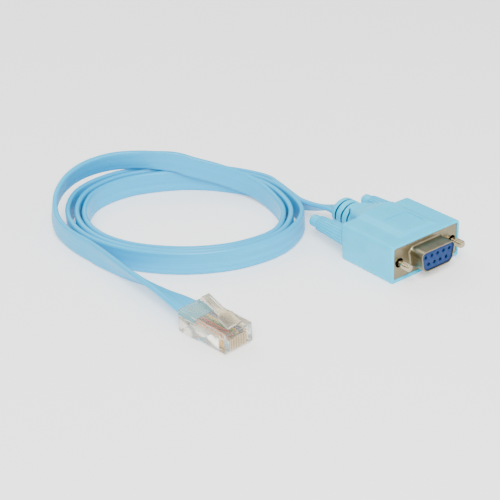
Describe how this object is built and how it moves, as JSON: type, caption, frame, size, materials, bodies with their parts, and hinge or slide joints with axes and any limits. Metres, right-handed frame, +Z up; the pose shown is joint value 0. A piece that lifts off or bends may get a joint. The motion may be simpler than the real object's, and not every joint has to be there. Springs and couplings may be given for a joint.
{
  "type": "rj45 console cable",
  "caption": "Flat light-blue console cable lying on edge in loose loops, with a moulded D-sub socket connector with thumbscrews at one end and a clear latched modular plug at the other.",
  "frame": {"origin": "middle of the flat underside of the D-sub connector's moulded hood", "axes": "+Z up from the floor, -Y out of the D-sub connector's mating face, +X to the right when the lead points away"},
  "size_m": [0.1025, 0.1365, 0.0178],
  "materials": {
    "hood_pvc": "soft satin light-blue moulded vinyl",
    "jacket_pvc": "satin light-blue vinyl with fine lengthwise lines",
    "knob_plastic": "satin light-blue, finely ribbed",
    "shell_nickel": "warm satin nickel plate",
    "screw_nickel": "bright nickel plate",
    "insulator_blue": "smooth mid-blue",
    "contact_gold": "gold plate",
    "clear_plastic": "clear polycarbonate",
    "wire_orange": "wire insulation",
    "wire_brown": "wire insulation",
    "wire_red": "wire insulation",
    "wire_green": "wire insulation",
    "wire_yellow": "wire insulation",
    "wire_blue": "wire insulation",
    "wire_grey": "wire insulation",
    "wire_white": "wire insulation"
  },
  "bodies": {
    "cable": {"hood": "hood_pvc", "front_shell": "shell_nickel", "rear_shell": "shell_nickel", "insulator": "insulator_blue", "socket_contact_1": "contact_gold", "socket_contact_2": "contact_gold", "socket_contact_3": "contact_gold", "socket_contact_4": "contact_gold", "socket_contact_5": "contact_gold", "socket_contact_6": "contact_gold", "socket_contact_7": "contact_gold", "socket_contact_8": "contact_gold", "socket_contact_9": "contact_gold", "flat_lead": "jacket_pvc", "plug_body": "clear_plastic", "core_orange": "wire_orange", "core_brown": "wire_brown", "core_red": "wire_red", "core_green": "wire_green", "core_yellow": "wire_yellow", "core_blue": "wire_blue", "core_grey": "wire_grey", "core_white": "wire_white", "blade_1": "contact_gold", "blade_2": "contact_gold", "blade_3": "contact_gold", "blade_4": "contact_gold", "blade_5": "contact_gold", "blade_6": "contact_gold", "blade_7": "contact_gold", "blade_8": "contact_gold"},
    "thumbscrew_left": {"screw_left": "screw_nickel", "knob_left": "knob_plastic"},
    "thumbscrew_right": {"screw_right": "screw_nickel", "knob_right": "knob_plastic"},
    "latch": {"plug_latch": "clear_plastic"}
  },
  "joints": [
    {"name": "thumbscrew_left_turn", "type": "hinge", "parent": "cable", "child": "thumbscrew_left", "pos_m": [-0.01249, 0, 0.0072], "axis": [0, 1, 0], "continuous": true},
    {"name": "thumbscrew_right_turn", "type": "hinge", "parent": "cable", "child": "thumbscrew_right", "pos_m": [0.01249, 0, 0.0072], "axis": [0, 1, 0], "continuous": true},
    {"name": "latch_press", "type": "hinge", "parent": "cable", "child": "latch", "pos_m": [-0.07874, -0.00861, 0.00775], "axis": [0.9962, 0.0872, 0], "range_deg": [-18, 0], "stiffness_Nm_per_rad": 0.02}
  ]
}
